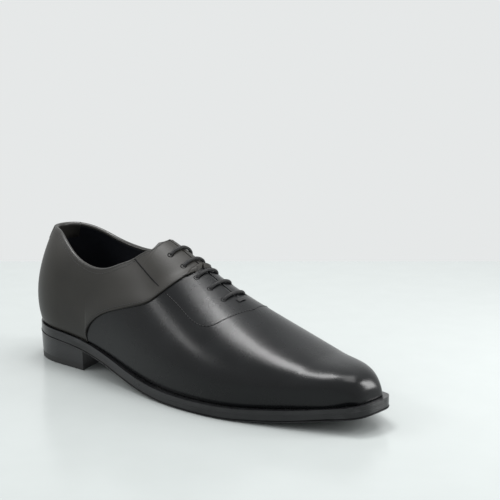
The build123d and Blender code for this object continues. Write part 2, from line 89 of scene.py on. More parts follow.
BOTTOM = Curve((0, 20), (33, 18.6), (70, 15.2), (100, 9.8), (130, 3.8), (160, 0.6), (190, 0.0),
               (220, 0.5), (250, 3.0), (280, 7.0), (306, 12.0))
FEATHER = Curve((45, 30.5, 30), (70, 31.5, 27), (100, 35.5, 24), (130, 41.5, 25), (160, 46.5, 34),
                (190, 48, 45.5), (215, 45.5, 48), (240, 38.5, 43), (265, 29.8, 31), (283, 22.5, 20))
BULGE = Curve((45, 34, 34), (70, 35, 33), (100, 38.5, 32), (130, 43.5, 33), (160, 48, 39),
              (190, 49.5, 47.5), (215, 47, 49.5), (240, 40, 44), (265, 31, 32), (283, 23.5, 21))
BULGE_RISE = Curve((45, 24), (70, 22), (100, 20), (130, 18), (160, 16), (190, 14), (215, 13),
                   (240, 12), (265, 11), (283, 10))
RIDGE = Curve((45, 112), (70, 112), (100, 107.5), (125, 100.5), (150, 87.5), (180, 71), (210, 56.5),
              (240, 44.8), (265, 38.5), (283, 35.8))
RIDGE_Y = Curve((45, 0), (70, 0), (100, 1), (130, 2), (160, 3), (190, 3), (215, 2), (240, -0.5),
                (265, -3.5), (283, -4.5))
FULLNESS = Curve((45, 2.0), (100, 1.9), (130, 1.85), (160, 1.8), (190, 1.85), (215, 1.95), (240, 2.1),
                 (283, 2.4))
BACK = Curve((20, 6.5), (28, 3.5), (38, 0.8), (50, 0.2), (62, 1.8), (75, 5.2), (88, 9.4), (100, 13.5),
             (112, 17.5))
TOE_LAT = Curve((0, 283, -22.5), (0.5, 290, -20.5), (1, 295.5, -17.5))
TOE_MED = Curve((0, 283, 20), (0.5, 293, 13), (1, 299.5, 6.5))
TOE_TOP = Curve((0, 283, -4.5, 35.8), (0.35, 292.3, -4.8, 33.0), (0.7, 298.3, -5.0, 27.3),
                (1, 300.5, -5.0, 19.1))
TOPLINE = {
    -1: Curve((-5, 101.5), (12, 101.5), (24, 101.5), (32, 100.2), (45, 93.4), (55, 87), (67, 81.8),
              (80, 79.4), (95, 81.3), (105, 85.4), (114, 89.8), (120.5, 94.6), (124.5, 99.5), (126, 106)),
    1: Curve((-5, 101.5), (12, 101.5), (24, 100.6), (32, 98.2), (46, 92.6), (58, 88.8), (70, 86.6),
             (85, 85.4), (98, 86.8), (108, 89.6), (116, 93.2), (121.5, 96.8), (124.5, 101), (126, 107)),
}
SWAN = np.array(((74, 12), (74.4, 24), (76, 32.5), (83, 41), (95, 48.7), (111, 54.8), (127, 59.6),
                 (138, 63.6), (144.5, 69.2), (149, 74.4), (153, 79.5), (157, 86), (160, 100)))


def feather_z(x):
    return BOTTOM(x) + EDGE


def topline_z(side, x):
    return TOPLINE[side](np.clip(x, -5, 126))


def section(x, q, side):
    """Points of the upper at station x; q runs 0 at the feather line to 1 at the ridge."""
    x, q = np.broadcast_arrays(np.asarray(x, float), np.asarray(q, float))
    k = 0 if side < 0 else 1
    foot, wide = FEATHER(x, k), BULGE(x, k)
    low = feather_z(x)
    mid, top, ridge_y = low + BULGE_RISE(x), RIDGE(x), side * RIDGE_Y(x)
    power = 2 / FULLNESS(x)
    a = np.clip(q / LOW_SHARE, 0, 1) * np.pi / 2
    b = np.clip((q - LOW_SHARE) / (1 - LOW_SHARE), 0, 1) * np.pi / 2
    lower = q < LOW_SHARE
    crown_y = ridge_y + (wide - ridge_y) * np.clip(np.cos(b), 0, 1) ** power
    y = np.where(lower, foot + (wide - foot) * np.sin(a), crown_y)
    z = np.where(lower, mid - (mid - low) * np.cos(a), mid + (top - mid) * np.sin(b) ** power)
    return np.stack([x, side * y, z], -1)


def heel(turn, q, side):
    """Points round the heel; turn runs 0 at the side to pi/2 at the back seam."""
    turn, q = np.broadcast_arrays(np.asarray(turn, float), np.asarray(q, float))
    flat = section(HEEL_X, q, side)
    first, last = float(feather_z(HEEL_X)), float(RIDGE(HEEL_X))
    start = feather_z(HEEL_X - (HEEL_X - BACK(28.0)) * np.sin(turn))
    level = start + (flat[..., 2] - first) * (last - start) / (last - first)
    across = np.maximum(np.abs(flat[..., 1]), 0.5)
    back = HEEL_X - BACK(level)
    grow = (np.sin(turn) / back) ** HEEL_ROUND + (np.cos(turn) / across) ** HEEL_ROUND
    radius = grow ** (-1 / HEEL_ROUND)
    return np.stack([HEEL_X - radius * np.sin(turn), side * radius * np.cos(turn), level], -1)


def toe(share, t):
    """Tilted rows of the toe box; t runs -1 at the lateral feather line to 1 at the medial one."""
    share, t = np.broadcast_arrays(np.asarray(share, float), np.asarray(t, float))
    x_lat, x_med = TOE_LAT(share), TOE_MED(share)
    lat = np.stack([x_lat, TOE_LAT(share, 1), feather_z(x_lat)], -1)
    med = np.stack([x_med, TOE_MED(share, 1), feather_z(x_med)], -1)
    top = np.stack([TOE_TOP(share), TOE_TOP(share, 1), TOE_TOP(share, 2)], -1)
    centre = (lat + med) / 2
    span = np.linalg.norm(med - lat, axis=-1, keepdims=True)
    across = (med - lat) / span
    shift = ((top - centre) * across).sum(-1, keepdims=True)
    up = (top - centre) - across * shift
    a = ((t + 1) * np.pi / 2)[..., None]
    power = 2 / (2.4 + 0.5 * share[..., None])
    y = np.abs(np.sin(a)) ** power
    swell = 1 + 0.04 * (1 - share[..., None]) * np.sin(2 * np.minimum(a, np.pi - a))
    along = -np.sign(np.cos(a)) * np.abs(np.cos(a)) ** power * span / 2 * swell + shift * y
    return centre + across * along + up * y


def grid_normals(points):
    """Outward normals of a grid of points, up and away from the shoe's middle."""
    du = np.gradient(points, axis=0)
    dv = np.gradient(points, axis=1)
    n = np.cross(du, dv)
    n /= np.maximum(np.linalg.norm(n, axis=-1, keepdims=True), 1e-9)
    middle = np.stack([np.clip(points[..., 0], 45, 270), 0 * points[..., 0], 0 * points[..., 0] + 30], -1)
    flip = np.sign(((points - middle) * n).sum(-1, keepdims=True))
    return n * np.where(flip == 0, 1, flip)


def soften(points, rounds):
    """Even out the curvature of a grid without shrinking it, its border rows held."""
    p = points.copy()
    for k in range(2 * rounds):
        inner = p[1:-1, 1:-1]
        mean = (p[:-2, 1:-1] + p[2:, 1:-1] + p[1:-1, :-2] + p[1:-1, 2:]) / 4
        p[1:-1, 1:-1] = inner + (0.5, -0.52)[k % 2] * (mean - inner)
    return p


# ---------------------------------------------------------------- mesh helpers
def mesh_object(name, points, faces, smooth=True):
    mesh = bpy.data.meshes.new(name)
    shifted = (np.asarray(points, float).reshape(-1, 3) - ORIGIN) * MM
    mesh.from_pydata([tuple(p) for p in shifted], [], [tuple(int(i) for i in f) for f in faces])
    mesh.update()
    mesh.polygons.foreach_set("use_smooth", [smooth] * len(mesh.polygons))
    piece = bpy.data.objects.new(name, mesh)
    bpy.context.collection.objects.link(piece)
    return piece


def grid_faces(rows, columns, start=0, loop=False):
    faces = []
    for i in range(rows - 1):
        for j in range(columns if loop else columns - 1):
            k = (j + 1) % columns
            faces.append((start + i * columns + j, start + i * columns + k,
                          start + (i + 1) * columns + k, start + (i + 1) * columns + j))
    return faces


def weld(piece, distance=0.00001):
    """Merge points closer than distance, in metres, and turn all faces outward."""
    bm = bmesh.new()
    bm.from_mesh(piece.data)
    bmesh.ops.remove_doubles(bm, verts=bm.verts, dist=distance)
    bmesh.ops.recalc_face_normals(bm, faces=bm.faces)
    bm.to_mesh(piece.data)
    bm.free()
    piece.data.polygons.foreach_set("use_smooth", [True] * len(piece.data.polygons))


def thick_grid(outer, inner):
    """Closed sheet between two grids of points."""
    rows, columns = outer.shape[:2]
    count = rows * columns
    points = np.concatenate([outer.reshape(-1, 3), inner.reshape(-1, 3)])
    faces = grid_faces(rows, columns)
    faces += [f[::-1] for f in grid_faces(rows, columns, count)]
    rim = [(0, j) for j in range(columns)] + [(i, columns - 1) for i in range(1, rows)]
    rim += [(rows - 1, j) for j in range(columns - 2, -1, -1)] + [(i, 0) for i in range(rows - 2, 0, -1)]
    ids = [i * columns + j for i, j in rim]
    for a, b in zip(ids, ids[1:] + ids[:1]):
        faces.append((b, a, a + count, b + count))
    return points, faces


def tube(path, radius, sides=12, ups=None):
    """Tube round a path of points, ends closed."""
    path = np.asarray(path, float)
    tangents = np.gradient(path, axis=0)
    tangents /= np.linalg.norm(tangents, axis=1, keepdims=True)
    up = np.array([0, 0, 1.0]) if ups is None else None
    points, last = [], None
    for i, (p, d) in enumerate(zip(path, tangents)):
        ref = ups[i] if ups is not None else (up if last is None else last)
        u = ref - d * (ref @ d)
        if np.linalg.norm(u) < 1e-6:
            u = np.cross(d, [1.0, 0, 0])
        u /= np.linalg.norm(u)
        last = u
        v = np.cross(d, u)
        r = radius if np.isscalar(radius) else radius[i]
        for k in range(sides):
            a = 2 * math.pi * k / sides
            points.append(p + r * (math.cos(a) * u + math.sin(a) * v))
    faces = grid_faces(len(path), sides, loop=True)
    faces.append(tuple(range(sides - 1, -1, -1)))
    faces.append(tuple((len(path) - 1) * sides + k for k in range(sides)))
    return np.array(points), faces


def join(parts):
    points, faces, start = [], [], 0
    for p, f in parts:
        points.append(np.asarray(p, float).reshape(-1, 3))
        faces += [tuple(i + start for i in face) for face in f]
        start += len(points[-1])
    return np.concatenate(points), faces


def resample(path, step=None, count=None):
    path = np.asarray(path, float)
    run = np.concatenate([[0], np.cumsum(np.linalg.norm(np.diff(path, axis=0), axis=1))])
    count = count or max(2, int(round(run[-1] / step)) + 1)
    at = np.linspace(0, run[-1], count)
    return np.stack([np.interp(at, run, path[:, k]) for k in range(path.shape[1])], -1)


# ---------------------------------------------------------------- materials
def principled(name, color, roughness, bump=(), coat=0.0, sheen=0.0, spread=0.12, painted_edge_highlight=0.0, metallic=0.0,
               specular=0.5, rough_spread=0.08):
    """Leather-like material: bump is (scale in 1/m, distance in mm, kind) triples; convex edges can be drawn lighter
    as a painted edge highlight.
    """
    mat = bpy.data.materials.new(name)
    mat.use_nodes = True
    nodes, links = mat.node_tree.nodes, mat.node_tree.links
    shader = nodes["Principled BSDF"]
    shader.inputs["Roughness"].default_value = roughness
    shader.inputs["Metallic"].default_value = metallic
    shader.inputs["Specular IOR Level"].default_value = specular
    shader.inputs["Coat Weight"].default_value = coat
    shader.inputs["Coat Roughness"].default_value = 0.12
    shader.inputs["Sheen Weight"].default_value = sheen
    coords = nodes.new("ShaderNodeTexCoord")
    cloud = nodes.new("ShaderNodeTexNoise")
    cloud.inputs["Scale"].default_value = 38.0
    cloud.inputs["Detail"].default_value = 4.0
    links.new(coords.outputs["Object"], cloud.inputs["Vector"])
    ramp = nodes.new("ShaderNodeValToRGB")
    ramp.color_ramp.elements[0].position = 0.3
    ramp.color_ramp.elements[1].position = 0.7
    ramp.color_ramp.elements[0].color = (*[c * (1 - spread) for c in color], 1)
    ramp.color_ramp.elements[1].color = (*[c * (1 + spread) for c in color], 1)
    links.new(cloud.outputs["Fac"], ramp.inputs["Fac"])
    base = ramp.outputs["Color"]
    # Convex edges, found by pointiness, get a lighter base colour: a painted edge highlight.
    if painted_edge_highlight:
        geometry = nodes.new("ShaderNodeNewGeometry")
        edge = nodes.new("ShaderNodeMapRange")
        edge.inputs["From Min"].default_value = 0.52
        edge.inputs["From Max"].default_value = 0.62
        links.new(geometry.outputs["Pointiness"], edge.inputs["Value"])
        mix = nodes.new("ShaderNodeMix")
        mix.data_type = "RGBA"
        links.new(edge.outputs["Result"], mix.inputs["Factor"])
        links.new(base, mix.inputs["A"])
        mix.inputs["B"].default_value = (*[min(1, c * (1 + painted_edge_highlight) + 0.01) for c in color], 1)
        base = mix.outputs["Result"]
    links.new(base, shader.inputs["Base Color"])
    smear = nodes.new("ShaderNodeMapRange")
    smear.inputs["To Min"].default_value = max(0.02, roughness - rough_spread)
    smear.inputs["To Max"].default_value = roughness + rough_spread
    links.new(cloud.outputs["Fac"], smear.inputs["Value"])
    links.new(smear.outputs["Result"], shader.inputs["Roughness"])
    last = None
    for size, depth, kind in bump:
        if kind == "pores":
            texture = nodes.new("ShaderNodeTexVoronoi")
            height = texture.outputs["Distance"]
        elif kind == "bands":
            texture = nodes.new("ShaderNodeTexWave")
            texture.bands_direction = "Z"
            texture.inputs["Distortion"].default_value = 1.5
            height = texture.outputs["Fac"]
        elif kind == "weave":
            texture = nodes.new("ShaderNodeTexWave")
            texture.bands_direction = "DIAGONAL"
            height = texture.outputs["Fac"]
        else:
            texture = nodes.new("ShaderNodeTexNoise")
            texture.inputs["Detail"].default_value = 5.0
            height = texture.outputs["Fac"]
        texture.inputs["Scale"].default_value = size
        links.new(coords.outputs["Object"], texture.inputs["Vector"])
        node = nodes.new("ShaderNodeBump")
        node.inputs["Strength"].default_value = 0.6
        node.inputs["Distance"].default_value = depth * MM
        links.new(height, node.inputs["Height"])
        if last:
            links.new(last.outputs["Normal"], node.inputs["Normal"])
        last = node
    if last:
        links.new(last.outputs["Normal"], shader.inputs["Normal"])
    return mat


GRAIN = ((1500, 0.05, "pores"), (420, 0.05, "noise"))
FINE = ((2200, 0.03, "pores"), (160, 0.05, "noise"))
# Vamp, quarter and edge leather get a painted edge highlight: their convex edges are drawn lighter by a set share.
vamp_leather = principled("vamp_leather", (0.0042, 0.0047, 0.0054), 0.27, FINE, coat=0.06, spread=0.2,
                          painted_edge_highlight=0.4, specular=0.22)
quarter_leather = principled("quarter_leather", (0.021, 0.0196, 0.0170), 0.44, GRAIN, spread=0.16, painted_edge_highlight=0.4,
                             specular=0.26)
binding_leather = principled("binding_leather", (0.020, 0.0190, 0.0170), 0.34, GRAIN, spread=0.15,
                             specular=0.4)
lining_leather = principled("lining_leather", (0.006, 0.007, 0.010), 0.6, GRAIN, spread=0.25, specular=0.3)
edge_leather = principled("edge_leather", (0.007, 0.0072, 0.008), 0.3,
                          ((260, 0.08, "bands"), (900, 0.05, "noise")), coat=0.08, spread=0.3, painted_edge_highlight=0.8, specular=0.3)
heel_rubber = principled("heel_rubber", (0.014, 0.014, 0.014), 0.55, ((700, 0.08, "noise"),), spread=0.2)
lace_cord = principled("lace_cord", (0.006, 0.006, 0.0065), 0.5, ((900, 0.16, "weave"),), spread=0.2,
                       sheen=0.03, specular=0.35)
thread = principled("thread", (0.016, 0.016, 0.017), 0.55, ((2500, 0.1, "weave"),), spread=0.2)
metal = principled("eyelet_metal", (0.02, 0.02, 0.02), 0.35, ((800, 0.02, "noise"),), metallic=0.8)
steel = principled("shank_steel", (0.5, 0.5, 0.52), 0.3, ((500, 0.03, "bands"),), metallic=1.0)
board = principled("fibreboard", (0.40, 0.30, 0.20), 0.8, ((900, 0.15, "noise"),), spread=0.2)
cork = principled("cork", (0.45, 0.28, 0.14), 0.85, ((260, 0.5, "pores"), (900, 0.2, "noise")), spread=0.4)
groove = principled("edge_groove", (0.003, 0.003, 0.0035), 0.6, ((1200, 0.03, "noise"),), specular=0.1)
plastic = principled("aglet_plastic", (0.01, 0.01, 0.01), 0.25, ((600, 0.02, "noise"),))


def finish_node(name, material):
    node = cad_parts[name]
    node.data.materials.clear()
    node.data.materials.append(material)


def dress(piece, material, slot, *nodes, body="root"):
    piece.data.materials.append(material)
    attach(piece, body)
    if nodes:
        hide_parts(*nodes)
    return piece


# ---------------------------------------------------------------- quarters
def fine_column(column, side):
    """Dense run up one column of a quarter: (kind, place) is a heel turn or a station."""
    q = np.linspace(0, 1, 400)
    kind, place = column
    return heel(place, q, side) if kind == "heel" else section(place, q, side)


swan_curve = Curve(*[(i, x, z) for i, (x, z) in enumerate(SWAN)])
swan_steps = np.linspace(0, len(SWAN) - 1, 900)
SWAN_XZ = np.stack([swan_curve(swan_steps), swan_curve(swan_steps, 1)], -1)


def swan_z(x):
    return float(np.interp(x, SWAN_XZ[:, 0], SWAN_XZ[:, 1]))


def quarter_columns():
    turns = [("heel", t) for t in np.linspace(np.pi / 2, 0, 40)[:-1]]
    stations = list(np.linspace(HEEL_X, 73.8, 22)) + list(np.linspace(74.2, 84, 22)[:-1])
    stations += list(np.linspace(84, 119, 34)[:-1]) + list(np.linspace(119, 126, 14)[:-1])
    stations += list(np.linspace(126, QUARTER_END, 64))
    return turns + [("flank", x) for x in stations]


def quarter_grid(side, rows=46):
    """Grid up the quarter, with each point's distance from the bottom and from the top edge."""
    grid, up, down = [], [], []
    for column in quarter_columns():
        run = fine_column(column, side)
        x = run[:, 0]
        low = run[0, 2] if column[0] == "heel" or column[1] < 74.2 else swan_z(column[1])
        limit = topline_z(side, x)
        inside = (run[:, 2] >= low - 1e-6) & ((run[:, 2] <= limit) | (x > THROAT_X))
        first = int(np.argmax(inside))
        keep = run[first:]
        stop = np.argmax(~inside[first:]) if (~inside[first:]).any() else len(keep)
        keep = keep[:max(int(stop), 2)]
        if first > 0:
            a, b = run[first - 1], run[first]
            share = (low - a[2]) / max(b[2] - a[2], 1e-6)
            keep = np.vstack([a + (b - a) * np.clip(share, 0, 1), keep])
        end = first + int(stop)
        if end < len(run):
            a, b = run[end - 1], run[end]
            ga = a[2] - topline_z(side, a[0])
            gb = b[2] - topline_z(side, b[0])
            keep = np.vstack([keep, a + (b - a) * np.clip(-ga / max(gb - ga, 1e-6), 0, 1)])
        line = resample(keep, count=rows)
        length = np.concatenate([[0], np.cumsum(np.linalg.norm(np.diff(line, axis=0), axis=1))])
        grid.append(line)
        up.append(length)
        down.append(length[-1] - length)
    return np.array(grid), np.array(up), np.array(down)


def make_quarter(side, name, slot, node):
    grid, up, down = quarter_grid(side)
    grid = soften(grid, 10)
    normal = grid_normals(grid)
    front = np.clip((grid[:, 0, 0] - 72.5) / 3.0, 0, 1)[:, None]
    front = front * front * (3 - 2 * front)
    lift = FOLD * front * np.exp(-((up / 11.0) ** 2))
    outer = grid + normal * lift[..., None]
    near_slit = grid[..., 0] > 124.8
    gap = np.clip(1 - np.abs(grid[..., 1] - SLIT_Y) / 6.0, 0, 1) * near_slit
    outer[..., 1] += side * gap * (SLIT_HALF - side * (RIDGE_Y(grid[..., 0]) - SLIT_Y))
    down_rows = []
    for depth, pull in ((0.10, 0.30), (0.40, 0.62), (0.85, 0.80), (1.25, 0.82)):
        step = outer[:, 1] - outer[:, 0]
        step /= np.maximum(np.linalg.norm(step, axis=1, keepdims=True), 1e-9)
        row = outer[:, 0] - normal[:, 0] * depth * front - step * (pull - 0.8) * front * 0.9
        row = row - (1 - front) * normal[:, 0] * depth
        down_rows.append(row)
    shell = np.concatenate([np.stack(down_rows[::-1], 1), outer], 1)
    thickness = np.concatenate([np.full((len(grid), 4), 0.15), np.full(grid.shape[:2], LEATHER)], 1)
    normals = np.concatenate([np.repeat(normal[:, :1], 4, 1), normal], 1)
    inner = shell - normals * thickness[..., None]
    points, faces = thick_grid(shell, inner)
    piece = mesh_object(name, points, faces)
    weld(piece)
    dress(piece, quarter_leather, slot, node)
    return outer, normal, up, down


# ---------------------------------------------------------------- vamp
def vamp_start(q, side, back=7.0):
    """Station where line q of the vamp starts, tucked back under the quarter's folded edge."""
    xs = np.linspace(74, 160, 400)
    points = section(xs, np.full_like(xs, q), side)
    above = points[:, 2] - np.array([swan_z(x) for x in xs])
    crossing = np.argmax(above < 0) if (above < 0).any() else len(xs) - 1
    tuck = back * min(1.0, max(0.0, (q - 0.02) / 0.25)) + 1.5
    return max(70.0, xs[crossing] - tuck)


def vamp_half(side, lines=56, rows=150, toe_rows=44):
    """Half grid of the vamp, feather line to ridge, back edge to the toe's feather line."""
    qs = np.linspace(0, 1, lines)
    starts = np.array([vamp_start(q, side) for q in qs])
    kernel = np.array([1, 2, 3, 2, 1]) / 9
    padded = np.concatenate([[starts[0]] * 2, starts, [starts[-1]] * 2])
    starts = np.convolve(padded, kernel, "valid")
    share = np.linspace(0, 1, rows) ** 0.85
    body = section(starts[None, :] + (TOE_X - starts[None, :]) * share[:, None], qs[None, :], side)
    t = side * (1 - toe_angle(qs, side))
    tip = toe(np.linspace(0, 1, toe_rows)[1:, None], t[None, :])
    return np.concatenate([body, tip], 0)


def toe_angle(qs, side):
    """Across parameter of the toe rows that meets each line q of the last upright section."""
    trial = np.linspace(0, 1, 2001)
    arch = toe(np.zeros_like(trial), side * (1 - trial))
    rim = section(np.full_like(qs, TOE_X), qs, side)
    nearest = np.linalg.norm(rim[:, None, 1:] - arch[None, :, 1:], axis=-1).argmin(1)
    found = np.maximum.accumulate(trial[nearest])
    found[0], found[-1] = 0, 1
    return found


def make_vamp():
    """Both halves as one grid, and the number of columns up to the ridge."""
    halves = {side: vamp_half(side) for side in (-1, 1)}
    whole = np.concatenate([halves[-1], halves[1][:, ::-1][:, 1:]], 1)
    return whole, halves[-1].shape[1]


whole, middle = make_vamp()


def fair_toe(grid, first, last):
    """Smooth bridge along every line of the grid from row first to row last, where the toe box begins."""
    start, stop = grid[first], grid[last]
    span = np.linalg.norm(stop - start, axis=-1, keepdims=True)
    leave, arrive = start - grid[first - 3], grid[last + 3] - stop
    leave = leave / np.maximum(np.linalg.norm(leave, axis=-1, keepdims=True), 1e-9) * span
    arrive = arrive / np.maximum(np.linalg.norm(arrive, axis=-1, keepdims=True), 1e-9) * span
    for i in range(first + 1, last):
        u = (i - first) / (last - first)
        grid[i] = ((2 * u**3 - 3 * u**2 + 1) * start + (u**3 - 2 * u**2 + u) * leave
                   + (3 * u**2 - 2 * u**3) * stop + (u**3 - u**2) * arrive)
    return grid


whole = soften(fair_toe(whole, *TOE_BRIDGE), 12)
vamp_normal = grid_normals(whole)
slit_rows = np.clip((SLIT_END - whole[:, middle - 1, 0]) / 1.5, 0, 1)[:, None]


def split_half(side):
    """One half of the vamp's outer and inner faces, opened along the slit."""
    part = slice(0, middle) if side < 0 else slice(middle - 1, None)
    outer, normal = whole[:, part].copy(), vamp_normal[:, part]
    reach = np.clip(1 - np.abs(outer[..., 1] - SLIT_Y) / 6.0, 0, 1)
    lean = SLIT_HALF - side * (RIDGE_Y(np.minimum(outer[..., 0], TOE_X)) - SLIT_Y)
    outer[..., 1] += side * slit_rows * reach * lean
    depth = LEATHER + LINING * np.clip((outer[..., :1] - 200) / 20, 0, 1)
    return outer, outer - normal * depth


parts = []
for side in (-1, 1):
    outer, inner = split_half(side)
    rows, columns = outer.shape[:2]
    count = rows * columns
    faces = grid_faces(rows, columns) + [f[::-1] for f in grid_faces(rows, columns, count)]
    edge = columns - 1 if side < 0 else 0
    far = 0 if side < 0 else columns - 1
    for i in range(rows - 1):
        a, b = i * columns, (i + 1) * columns
        faces.append((a + far, b + far, b + far + count, a + far + count))
        if slit_rows[i, 0] > 0 or slit_rows[i + 1, 0] > 0:
            faces.append((a + edge, b + edge, b + edge + count, a + edge + count))
    for j in range(columns - 1):
        faces.append((j, j + 1, j + 1 + count, j + count))
        k = (rows - 1) * columns + j
        faces.append((k, k + 1, k + 1 + count, k + count))
    parts.append((np.concatenate([outer.reshape(-1, 3), inner.reshape(-1, 3)]), faces))
points, faces = join(parts)
vamp = mesh_object("vamp_upper", points, faces)
weld(vamp)
dress(vamp, vamp_leather, "vamp_leather", "vamp", "toe_puff", "vamp_lining")

quarters = {}
for side, name in ((-1, "lateral"), (1, "medial")):
    quarters[side] = make_quarter(side, f"quarter_{name}_upper", "quarter_leather", f"quarter_{name}")

# ---------------------------------------------------------------- linings inside the opening
def lining_grid(side, rows=30):
    columns = [c for c in quarter_columns() if c[0] == "heel" or c[1] <= THROAT_X]
    grid = []
    for column in columns:
        run = fine_column(column, side)
        over = run[:, 2] > topline_z(side, run[:, 0])
        over &= np.arange(len(run)) > 40
        stop = int(np.argmax(over)) if over.any() else len(run)
        grid.append(resample(run[:max(stop, 2)], count=rows))
    grid = np.array(grid)
    return grid, grid_normals(grid)


for side, name in ((-1, "lateral"), (1, "medial")):
    grid, normal = lining_grid(side)
    points, faces = thick_grid(grid - normal * 1.5, grid - normal * 3.05)
    piece = mesh_object(f"lining_{name}", points, faces)
    weld(piece)
    if side < 0:
        dress(piece, lining_leather, "lining_leather", "quarter_lining_lateral")
    else:
        dress(piece, lining_leather, "lining_leather", "quarter_lining_medial", "heel_grip")


# ---------------------------------------------------------------- rolled topline and heel tab
def roll(path, normals, radius, sides=14, drop=0.2, wide=1.75):
    """Rolled edge along the topline: an oval bead round leather and lining."""
    points = []
    tangents = np.gradient(path, axis=0)
    tangents /= np.linalg.norm(tangents, axis=1, keepdims=True)
    for p, n, d in zip(path, normals, tangents):
        u = np.cross(d, n)
        u /= np.linalg.norm(u)
        u = u if u[2] > 0 else -u
        centre = p - n * 1.5 - u * drop
        for k in range(sides):
            a = 2 * math.pi * k / sides
            points.append(centre + n * wide * math.cos(a) + u * radius * math.sin(a))
    faces = grid_faces(len(path), sides, loop=True)
    faces.append(tuple(range(sides - 1, -1, -1)))
    faces.append(tuple((len(path) - 1) * sides + k for k in range(sides)))
    return np.array(points), faces


for side, name in ((-1, "lateral"), (1, "medial")):
    outer, normal, up, down = quarters[side]
    upto = sum(1 for c in quarter_columns() if c[0] == "heel" or c[1] <= THROAT_X)
    path, facing = outer[:upto, -1], normal[:upto, -2]
    bead = roll(path, facing, 1.25)
    piece = mesh_object(f"topline_roll_{name}", *bead)
    weld(piece)
    dress(piece, binding_leather, "binding_leather", f"topline_binding_{name}")

columns = []
for side in (-1, 1):
    outer, normal, up, down = quarters[side]
    chosen = [i for i in range(len(outer)) if outer[i, -1, 0] < 21.5]
    chosen = chosen if side > 0 else chosen[::-1]
    if side > 0:
        chosen = chosen[1:]
    for i in chosen:
        top, n = outer[i, -1], normal[i, -2]
        u = outer[i, -1] - outer[i, -6]
        u /= np.linalg.norm(u)
        profile = []
        for depth, lift in ((11, -0.3), (10.6, 0.12), (9.5, 0.32), (6, 0.36), (3, 0.38), (1.2, 0.42)):
            at = np.interp(depth, down[i][::-1], np.arange(len(down[i]))[::-1])
            j = int(at)
            p = outer[i, j] + (outer[i, min(j + 1, len(outer[i]) - 1)] - outer[i, j]) * (at - j)
            profile.append(p + n * lift)
        for a in np.linspace(0.25, math.pi - 0.25, 9):
            profile.append(top - n * 1.5 + n * 2.0 * math.cos(a) + u * (1.55 * math.sin(a) - 0.35))
        for depth, lift in ((1.2, -3.5), (3, -3.45), (8, -3.4), (12, -3.35), (12.6, -3.0), (12.0, -2.6)):
            profile.append(top - u * depth + n * lift)
        columns.append(profile)
columns = np.array(columns)
rows, count = columns.shape[:2]
tab_faces = grid_faces(rows, count, loop=True)
tab_faces += [tuple(range(count)), tuple((rows - 1) * count + k for k in range(count))[::-1]]
tab = mesh_object("heel_tab_fold", columns, tab_faces)
weld(tab)
dress(tab, binding_leather, "binding_leather", "heel_tab")


# ---------------------------------------------------------------- places on the upper
def place(x, y, z=None):
    """Point and normal of the upper's outer face nearest to (y, z) at station x."""
    side = -1 if y < float(RIDGE_Y(x)) else 1
    q = np.linspace(0, 1, 1500)
    line = section(np.full_like(q, x), q, side)
    if z is None:
        crown = q > LOW_SHARE
        i = int(np.where(crown, np.abs(line[:, 1] - y), 1e9).argmin())
    else:
        i = int(np.hypot(line[:, 1] - y, line[:, 2] - z).argmin())
    i = min(max(i, 1), len(q) - 2)
    ahead = section(x + 0.5, q[i], side) - section(x - 0.5, q[i], side)
    across = line[i + 1] - line[i - 1]
    n = np.cross(ahead, across)
    n /= np.linalg.norm(n)
    if n[2] < 0 or (abs(n[2]) < 0.2 and n[1] * side < 0):
        n = -n
    return line[i], n


def on_surface(knots, step=0.5):
    """Path of points and normals over the upper through (x, y, z) knots."""
    knots = np.array(knots, float)
    curve = Curve(*[(i, *k) for i, k in enumerate(knots)])
    u = np.linspace(0, len(knots) - 1, 500)
    rough = resample(np.stack([curve(u, k) for k in range(3)], -1), step=step)
    found = [place(*p) for p in rough]
    return np.array([p for p, _ in found]), np.array([n for _, n in found])


def stitches(path, normals, pitch=2.4, length=1.6, radius=0.27, height=0.12):
    """Row of short raised stitches along a path."""
    run = np.concatenate([[0], np.cumsum(np.linalg.norm(np.diff(path, axis=0), axis=1))])
    parts, at = [], pitch / 2
    while at + length < run[-1]:
        s = np.linspace(at, at + length, 7)
        p = np.stack([np.interp(s, run, path[:, k]) for k in range(3)], -1)
        n = np.stack([np.interp(s, run, normals[:, k]) for k in range(3)], -1)
        arch = height * np.sin(np.linspace(0, math.pi, 7)) - 0.12
        parts.append(tube(p + n * arch[:, None], radius, sides=6, ups=n))
        at += pitch
    return parts


# ---------------------------------------------------------------- seams and stitch rows
DIAGONAL = [(114.4, -22.3, 88.7), (124.5, -24.2, 83.0), (135, -25.8, 76.8), (145.2, -26.9, 71.1)]
FACING_U = [(149, -27.5, 69), (160.8, -28.9, 63.1), (172.5, -31.4, 56.8), (181, -32.2, 53.6),
            (187, -31.2, 52.8), (191.7, -27.1, 54.2), (194.6, -21.1, 56.5), (197, -14.5, 58.3),
            (199.7, -4, 59.6), (201.1, 2.6, 59.5)]


def mirrored(knots):
    return [(x, 2 * SLIT_Y - y, z) for x, y, z in knots]


def seam_line(knots, radius, height, side=-1):
    path, normals = on_surface(knots if side < 0 else mirrored(knots))
    return tube(path + normals * height, radius, sides=8, ups=normals), path, normals


def face_run(outer, normal, columns, share):
    """Points and normals of a face at a fractional row of each listed column."""
    p, n = [], []
    for i, at in zip(columns, share):
        j = min(int(at), outer.shape[1] - 2)
        p.append(outer[i, j] + (outer[i, j + 1] - outer[i, j]) * (at - j))
        n.append(normal[i, j])
    return np.array(p), np.array(n)


